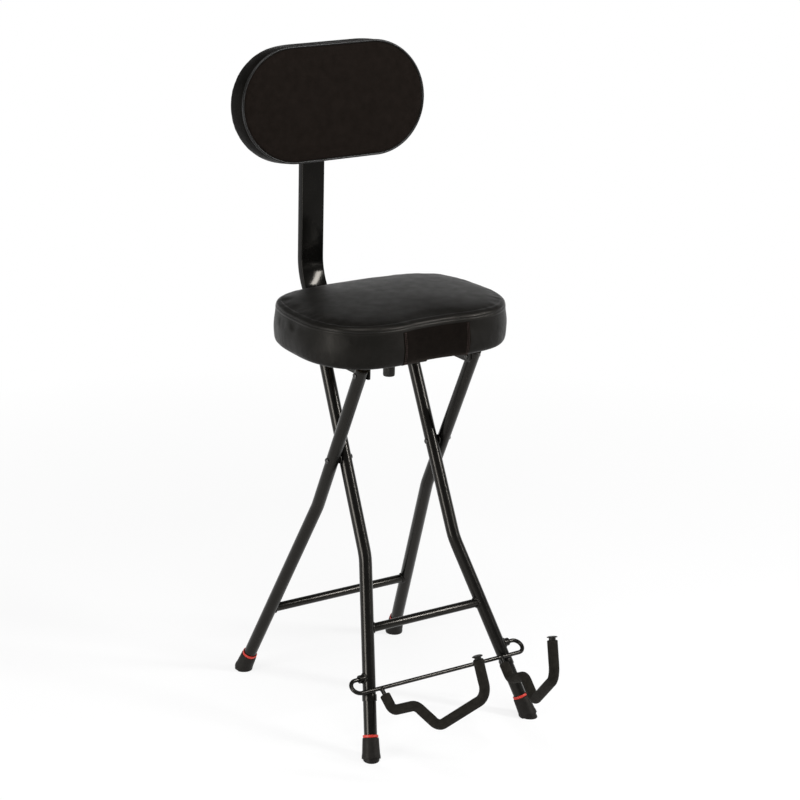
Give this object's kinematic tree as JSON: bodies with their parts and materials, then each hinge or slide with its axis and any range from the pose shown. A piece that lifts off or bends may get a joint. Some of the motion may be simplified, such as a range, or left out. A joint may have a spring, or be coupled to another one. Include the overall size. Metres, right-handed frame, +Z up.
{
  "type": "guitar stool",
  "caption": "Tall folding guitar stool: padded seat, padded backrest on a bent flat post, crossing tubular legs and a wire cradle low at the front that holds a guitar.",
  "frame": {"origin": "floor level, under the middle of the bounding box with the cradle folded out", "axes": "+X to the right seen from the front, which is the sitter's left, +Y to the back, +Z up"},
  "size_m": [0.3852, 0.679, 1.1231],
  "materials": {
    "powder_coat": "gloss black powder coat",
    "black_steel": "blackened, satin",
    "vinyl": "black vinyl with a fine grain",
    "suede": "brown-black suede cloth, matte",
    "plywood": "raw plywood",
    "black_plastic": "moulded black plastic",
    "black_rubber": "black rubber",
    "red_rubber": "red rubber",
    "foam": "matte black closed-cell foam"
  },
  "bodies": {
    "rear_frame": {"rear_leg_left": "powder_coat", "rear_leg_right": "powder_coat", "rear_crossbar": "powder_coat", "rear_foot_left": "black_rubber", "rear_foot_right": "black_rubber", "rear_ring_left": "red_rubber", "rear_ring_right": "red_rubber", "crossing_rivet_left": "black_steel", "crossing_rivet_right": "black_steel", "crossing_washer_left": "black_plastic", "crossing_washer_right": "black_plastic", "seat_rivet_left": "black_steel", "seat_rivet_right": "black_steel", "rear_leg_plug_left": "black_plastic", "rear_leg_plug_right": "black_plastic"},
    "front_frame": {"front_leg_left": "powder_coat", "front_leg_right": "powder_coat", "front_crossbar": "powder_coat", "front_top_bar": "powder_coat", "front_foot_left": "black_rubber", "front_foot_right": "black_rubber", "front_ring_left": "red_rubber", "front_ring_right": "red_rubber", "catch_pin_left": "black_steel", "catch_pin_right": "black_steel", "cradle_bush_left": "powder_coat", "cradle_bush_right": "powder_coat", "rest_collar_left": "powder_coat", "rest_collar_right": "powder_coat"},
    "seat": {"seat_board": "plywood", "seat_cushion": "vinyl", "seat_plate_left": "powder_coat", "seat_plate_right": "powder_coat", "plate_screw_front_left": "black_steel", "plate_screw_front_right": "black_steel", "plate_screw_back_left": "black_steel", "plate_screw_back_right": "black_steel", "post_receiver": "powder_coat", "receiver_screw_left": "black_steel", "receiver_screw_right": "black_steel"},
    "knob": {"clamp_knob": "black_plastic", "clamp_stud": "black_steel"},
    "backrest": {"backrest_post": "powder_coat", "post_plug_front": "black_plastic", "post_plug_top": "black_plastic", "backrest_bracket": "powder_coat", "backrest_board": "plywood", "backrest_pad": "suede", "backrest_bolt_lower": "black_steel", "backrest_bolt_upper": "black_steel", "board_screw_left": "black_steel", "board_screw_right": "black_steel"},
    "cradle": {"cradle_rod": "powder_coat", "cradle_arm_left": "powder_coat", "cradle_arm_right": "powder_coat", "cradle_foam_left": "foam", "cradle_foam_right": "foam", "cradle_cap_left": "black_plastic", "cradle_cap_right": "black_plastic"}
  },
  "joints": [
    {"name": "legs_fold", "type": "hinge", "parent": "rear_frame", "child": "front_frame", "pos_m": [0, 0.06604, 0.4574], "axis": [1, 0, 0], "range_deg": [0, 43]},
    {"name": "seat_fold", "type": "hinge", "parent": "rear_frame", "child": "seat", "pos_m": [0, -0.01444, 0.63], "axis": [1, 0, 0], "range_deg": [0, 108]},
    {"name": "post_slide", "type": "slide", "parent": "seat", "child": "backrest", "axis": [0, 1, 0], "range_m": [-0.04, 0.06]},
    {"name": "knob_turn", "type": "hinge", "parent": "seat", "child": "knob", "pos_m": [0, 0.07104, 0.588], "axis": [0, 0, 1], "range_deg": [0, 360]},
    {"name": "cradle_fold", "type": "hinge", "parent": "front_frame", "child": "cradle", "pos_m": [0, -0.09036, 0.122], "axis": [-1, 0, 0], "range_deg": [0, 85]}
  ],
  "couplings": [
    {"joint": "seat_fold", "follows": "legs_fold", "ratio": 2.5}
  ]
}
